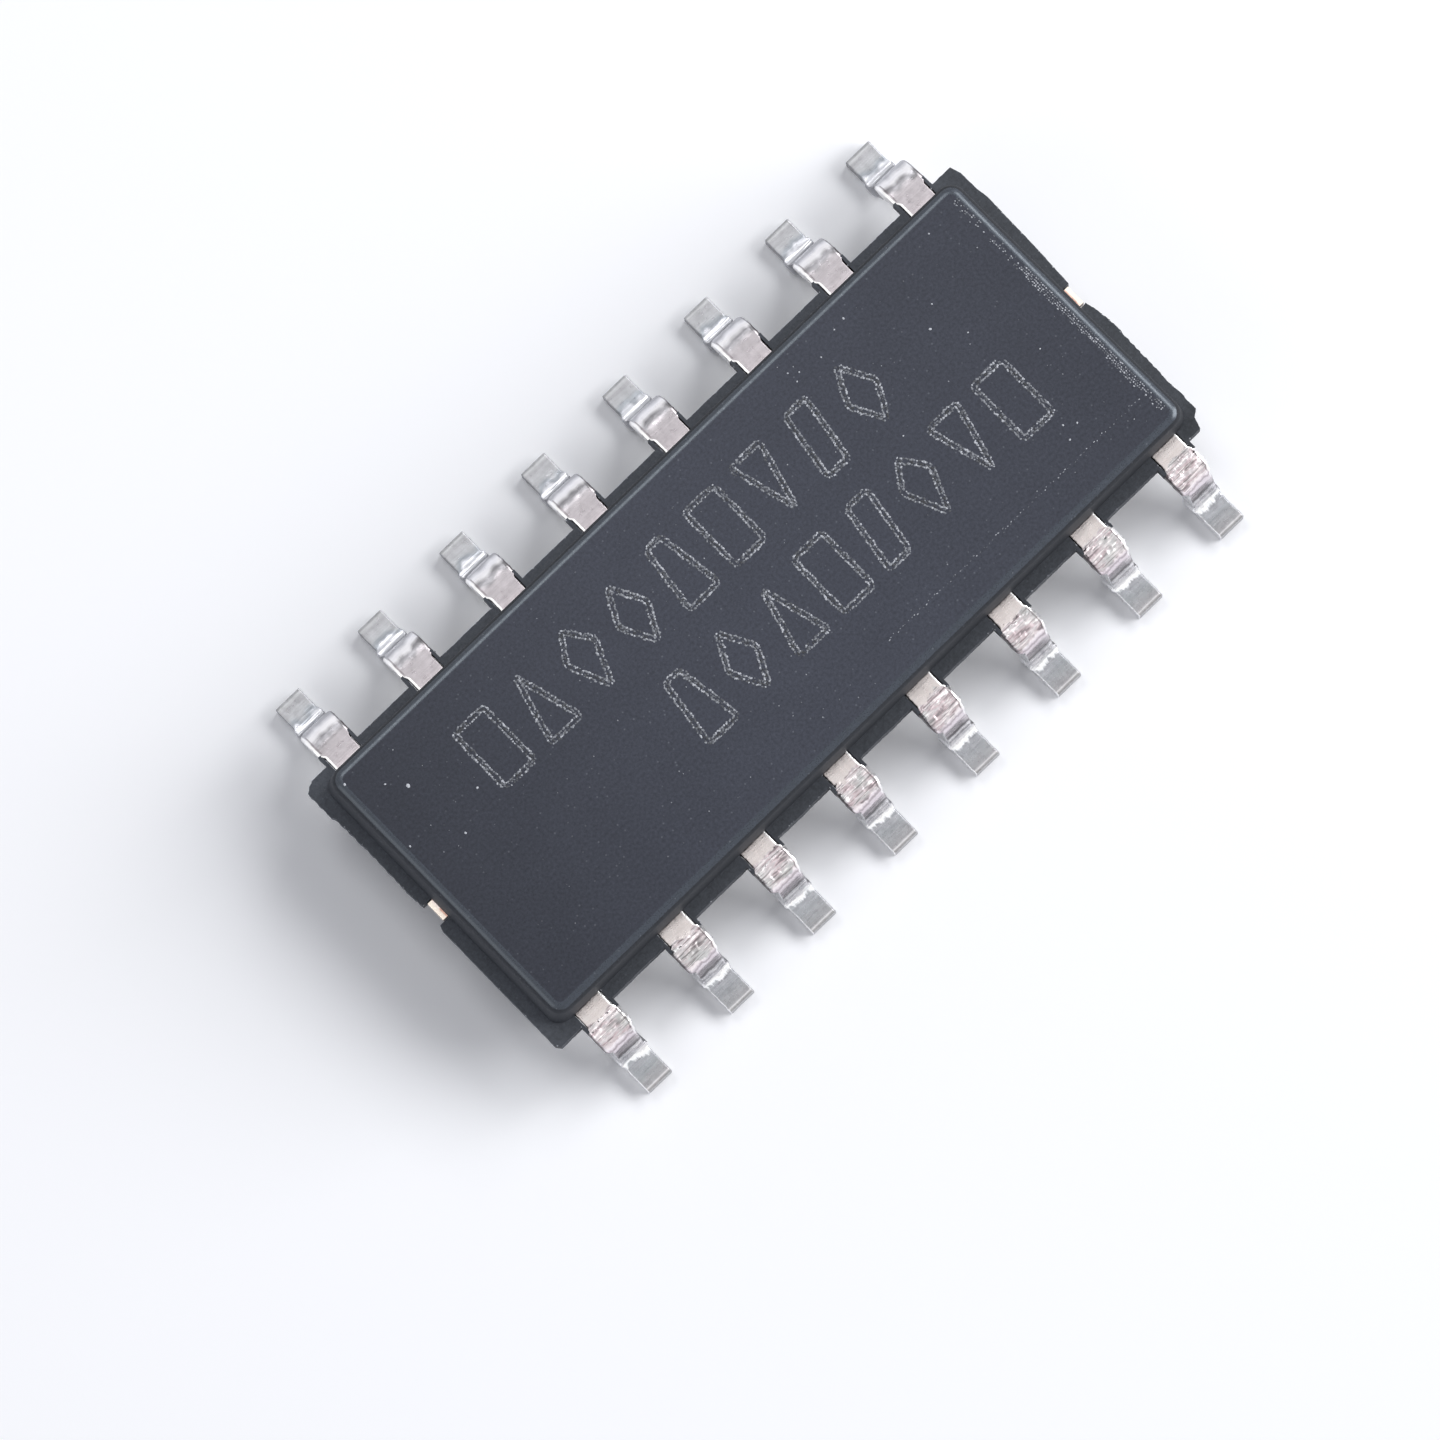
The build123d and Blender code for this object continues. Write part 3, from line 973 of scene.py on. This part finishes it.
# %% Copper
# Beyond this distance from the body's middle the tie bars' ends turn pale
pale_from = half_length + 0.013
pale_fully = pale_from + 0.014
ramp_start = 4.0
copper, tree, shader = new_material("sheared_copper")
place = millimetres(tree)
smear = add_node(tree, "ShaderNodeMapping", {"Vector": place, "Scale": (6, 6, 40)}).outputs["Vector"]
streak = noise_layer(tree, smear, 1.0, 3, 0.6)
copper_stops = [(0.35, linear(166, 116, 102)), (0.5, linear(226, 184, 168)), (0.62, linear(250, 236, 230))]
tone = ramp(tree, streak, copper_stops)
place_x = add_node(tree, "ShaderNodeSeparateXYZ", {"Vector": place}).outputs["X"]
beyond_start = calculate(tree, "SUBTRACT", calculate(tree, "ABSOLUTE", place_x), ramp_start)
pale_stops = [(pale_from - ramp_start, grey(0)), (pale_fully - ramp_start, grey(0.9))]
tone = mix_colour(tree, ramp(tree, beyond_start, pale_stops), tone, linear(250, 240, 228))
set_inputs(tree, shader, {"Base Color": tone, "Normal": bump(tree, streak, 0.003)})
set_inputs(tree, shader, {"Metallic": 1.0, "Roughness": 0.35})
print("The copper turns pale", pale_from, "mm from the middle")

# %% Adhesive, silicon and gold
adhesive = epoxy("silver_adhesive", linear(150, 150, 150), 0.4, 0.002)
silicon = epoxy("sawn_silicon", linear(70, 74, 92), 0.15, 0.0003)
gold, tree, shader = new_material("gold_wire")
drawn_lines = noise_layer(tree, millimetres(tree), 50, 2)
tone = ramp(tree, drawn_lines, [(0.3, linear(226, 178, 90)), (0.7, linear(240, 200, 120))])
set_inputs(tree, shader, {"Base Color": tone, "Metallic": 1.0, "Roughness": 0.25})

finishes = {"die_pad": copper, "die_attach": adhesive, "die": silicon}
inner_nodes = [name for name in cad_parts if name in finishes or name.startswith("bond_wire")]
for name in inner_nodes:
    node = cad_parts[name]
    node.data.materials.clear()
    node.data.materials.append(finishes.get(name, gold))
print(len(inner_nodes), "pieces keep their CAD shape")

# %% [markdown]
# The laser burns pale flecks along both borders of each stroke, so a mark reads as a pair of dotted
# lines. The marks are plain outlines of squares, triangles and the like, in two rows. A fleck is an
# icosphere of twenty faces, squashed and turned; hundreds of them follow each outline, and a few dark
# ones stand for pits.

# %% Flecks
fleck_layer = "brightness"
fleck_height = 0.004
dice = random.Random(16)


def add_fleck(bm, place, heading, length, width, height, brightness):
    """Adds one squashed fleck and stores how bright it is."""
    shape = Matrix.Diagonal((length / 2, width / 2, height, 1))
    matrix = Matrix.Translation(place) @ Matrix.Rotation(heading, 4, "Z") @ shape
    made = bmesh.ops.create_icosphere(bm, subdivisions=1, radius=1, matrix=matrix)["verts"]
    layer = bm.verts.layers.float[fleck_layer]
    for vert in made:
        vert[layer] = brightness


def new_flecks():
    """Returns an empty mesh that can hold flecks."""
    bm = bmesh.new()
    bm.verts.layers.float.new(fleck_layer)
    return bm


fleck_material, tree, shader = new_material("laser_fleck")
bright = add_node(tree, "ShaderNodeAttribute", attribute_name=fleck_layer).outputs["Fac"]
frost = noise_layer(tree, millimetres(tree), 90, 2)
frosted = calculate(tree, "MULTIPLY_ADD", frost, 0.3, calculate(tree, "SUBTRACT", bright, 0.15))
frost_stops = [(0.0, linear(34, 36, 40)), (0.35, linear(96, 99, 106)), (1.0, linear(196, 199, 206))]
tone = ramp(tree, frosted, frost_stops)
set_inputs(tree, shader, {"Base Color": tone, "Normal": bump(tree, frost, 0.002), "Roughness": 0.6})

# %% Outlines of the marks
square = [(-0.5, -0.5), (0.5, -0.5), (0.5, 0.5), (-0.5, 0.5)]
triangle = [(-0.5, -0.5), (0.5, -0.5), (0.0, 0.5)]
fallen_triangle = [(x, -y) for x, y in reversed(triangle)]
diamond = [(0, -0.5), (0.5, 0), (0, 0.5), (-0.5, 0)]
kite = [(0, -0.5), (0.5, 0.12), (0, 0.5), (-0.5, 0.12)]
wedge = [(-0.5, -0.5), (0.5, -0.5), (0.25, 0.5), (-0.25, 0.5)]
leaning = [(-0.5, -0.5), (0.2, -0.5), (0.5, 0.5), (-0.2, 0.5)]
first_row = [square, triangle, kite, diamond, wedge, square, fallen_triangle, leaning, diamond]
second_row = [wedge, diamond, triangle, square, leaning, kite, fallen_triangle, square]
mark_width = 0.44
mark_height = 0.82
mark_round = 0.05
stroke_half = 0.027
fleck_step = 0.0155
border_gaps = 0.14
middle_gaps = 0.45


def rounded_loop(shape, width, height):
    """Returns a shape's corner points at its real size, with its corners rounded by a bevel."""
    bm = bmesh.new()
    corners = [bm.verts.new((x * width, y * height, 0)) for x, y in shape]
    bm.faces.new(corners)
    bmesh.ops.bevel(
        bm, geom=corners, offset=mark_round, segments=4, profile=0.5, affect="VERTICES", material=-1
    )
    loop = [v.co.copy() for v in bm.faces[:][0].verts]
    bm.free()
    return loop


def walk(loop, step):
    """Yields a place and a heading at every step along a closed loop."""
    spare = 0.0
    for start, stop in zip(loop, loop[1:] + loop[:1]):
        run = stop - start
        heading = atan2(run.y, run.x)
        while spare < run.length:
            yield start + run * (spare / run.length), heading
            spare += step
        spare -= run.length


# %% Burn the marks


def burn_mark(name, shape, middle):
    """Makes one mark: dotted contours on both borders of a shape's outline, with dim ash between them."""
    bm = new_flecks()
    for place, heading in walk(rounded_loop(shape, mark_width, mark_height), fleck_step):
        for border in (-1, 0, 1):
            if dice.random() < (border_gaps if border else middle_gaps):
                continue
            shift = border * stroke_half + dice.gauss(0, 0.005)
            spot = middle + place + Vector((-sin(heading), cos(heading), 0)) * shift
            length = dice.uniform(0.018, 0.040)
            bright = dice.choice((0.15, 0.4, 0.5, 0.6, 0.9) if border else (0.0, 0.0, 0.2, 0.4))
            turned = heading + dice.gauss(0, 0.6)
            add_fleck(bm, spot, turned, length, dice.uniform(0.017, 0.030), fleck_height, bright)
    return finish_piece(bm, name, [fleck_material])


# Each row's shapes, the place of its first mark, the step from one mark to the next, and the row's place
rows = [(first_row, -3.235, 0.706, 0.783), (second_row, -1.295, 0.692, -0.432)]
count = 0
for shapes, start_x, row_pitch, y in rows:
    for index, shape in enumerate(shapes):
        count += 1
        burn_mark(f"mark_{count:02d}", shape, Vector((start_x + index * row_pitch, y, body_high.z)))
print("There are", count, "marks")

# %% [markdown]
# Handling left its own flecks: a scuffed band along the end by pins 8 and 9, small chips round the rim
# of the flash, a dotted scratch along the front edge, and grains of dust here and there. They could be
# painted, but as flecks like those of the marks they catch the light from every side.

# %% Scuffs at the end
# Lines of scuffs along the end, each with how thickly it is strewn
scuff_lines = [(4.610, 0.3), (4.634, 0.85), (4.658, 0.9), (4.688, 0.75)]
scuff_low = -1.66
scuff_high = 1.62
scuffs = new_flecks()
for column, density in scuff_lines:
    y = scuff_low
    while y < scuff_high:
        below = smooth_step(0.75, 0.30, y) * (1 - 0.5 * smooth_step(-0.95, -1.45, y))
        patchy = 0.40 + 0.85 * below + 0.35 * noise.noise(Vector((column * 9, y * 3.1, 0)))
        if dice.random() < density * patchy:
            spot = Vector((column + dice.gauss(0, 0.003), y, body_high.z))
            length = dice.uniform(0.016, 0.030)
            bright = dice.choice((0.3, 0.5, 0.7, 0.9))
            turned = pi / 2 + dice.gauss(0, 0.3)
            add_fleck(scuffs, spot, turned, length, dice.uniform(0.015, 0.022), fleck_height, bright)
        y += dice.uniform(0.022, 0.034)
print("The scuffed end has", len(scuffs.verts), "points")
finish_piece(scuffs, "end_scuffs", [fleck_material])

# %% Chips round the flash
chip_step = 0.035
chip_share = 0.12
chip_inset = 0.006
chip_sink = 0.004
chip_width = 0.012
chip_height = 0.006
chips = new_flecks()
for place, heading in walk([Vector((x, y, 0)) for x, y in outline], chip_step):
    if dice.random() < chip_share:
        spot = Vector((place.x, place.y, parting_top - chip_sink)) - chip_inset * place.normalized()
        length = dice.uniform(0.012, 0.035)
        add_fleck(chips, spot, heading, length, chip_width, chip_height, dice.choice((0.5, 0.8, 1.0)))
print("The chips have", len(chips.verts), "points")
finish_piece(chips, "flash_chips", [fleck_material])

# %% Scratch along the front edge
scratch_start = 0.7
scratch_stop = 4.57
scratch_y = -1.405
scratch_width = 0.012
scratch_height = 0.003
scratch = new_flecks()
x = scratch_start
while x < scratch_stop:
    spot = Vector((x, scratch_y + dice.gauss(0, 0.008), body_high.z))
    heading = dice.uniform(-0.4, 0.4)
    length = dice.uniform(0.012, 0.03)
    bright = dice.choice((0.3, 0.5, 0.9))
    add_fleck(scratch, spot, heading, length, scratch_width, scratch_height, bright)
    x += dice.uniform(0.02, 0.07)
print("The scratch has", len(scratch.verts), "points")
finish_piece(scratch, "front_scratch", [fleck_material])

# %% Dust
# The grains that stand out, each as a place and a size, and then fine dust at random
grain_width_share = 0.8
grain_height = 0.006
grain_brightness = 0.95
fine_grains = 150
dust_spots = [
    (-4.70, 1.64, 0.040),
    (-4.21, 1.14, 0.060),
    (-4.38, 1.33, 0.030),
    (-3.68, 0.59, 0.035),
    (-4.12, 0.32, 0.035),
    (-4.66, 0.64, 0.030),
    (3.45, 0.77, 0.040),
    (3.74, -1.03, 0.030),
    (3.87, -1.12, 0.030),
    (3.68, -1.20, 0.030),
    (3.66, 0.96, 0.025),
    (3.72, 0.45, 0.025),
    (4.16, -0.24, 0.025),
    (4.19, 1.55, 0.025),
    (2.40, 0.12, 0.025),
    (2.85, 1.53, 0.035),
    (2.08, 1.44, 0.025),
    (1.98, 1.52, 0.025),
    (1.99, 1.38, 0.025),
    (2.37, 1.39, 0.025),
    (2.69, 1.51, 0.025),
]
dust = new_flecks()
for x, y, size in dust_spots:
    spot = Vector((x, y, body_high.z))
    heading = dice.uniform(0, pi)
    add_fleck(dust, spot, heading, size, size * grain_width_share, grain_height, grain_brightness)
for _ in range(fine_grains):
    spot = Vector((dice.uniform(-4.6, 4.6), dice.uniform(-1.65, 1.65), body_high.z))
    size = dice.uniform(0.008, 0.020)
    heading = dice.uniform(0, pi)
    bright = dice.choice((0.3, 0.4, 0.7))
    add_fleck(dust, spot, heading, size, size * grain_width_share, grain_height / 2, bright)
print("There are", len(dust_spots) + fine_grains, "grains of dust")
finish_piece(dust, "dust", [fleck_material])
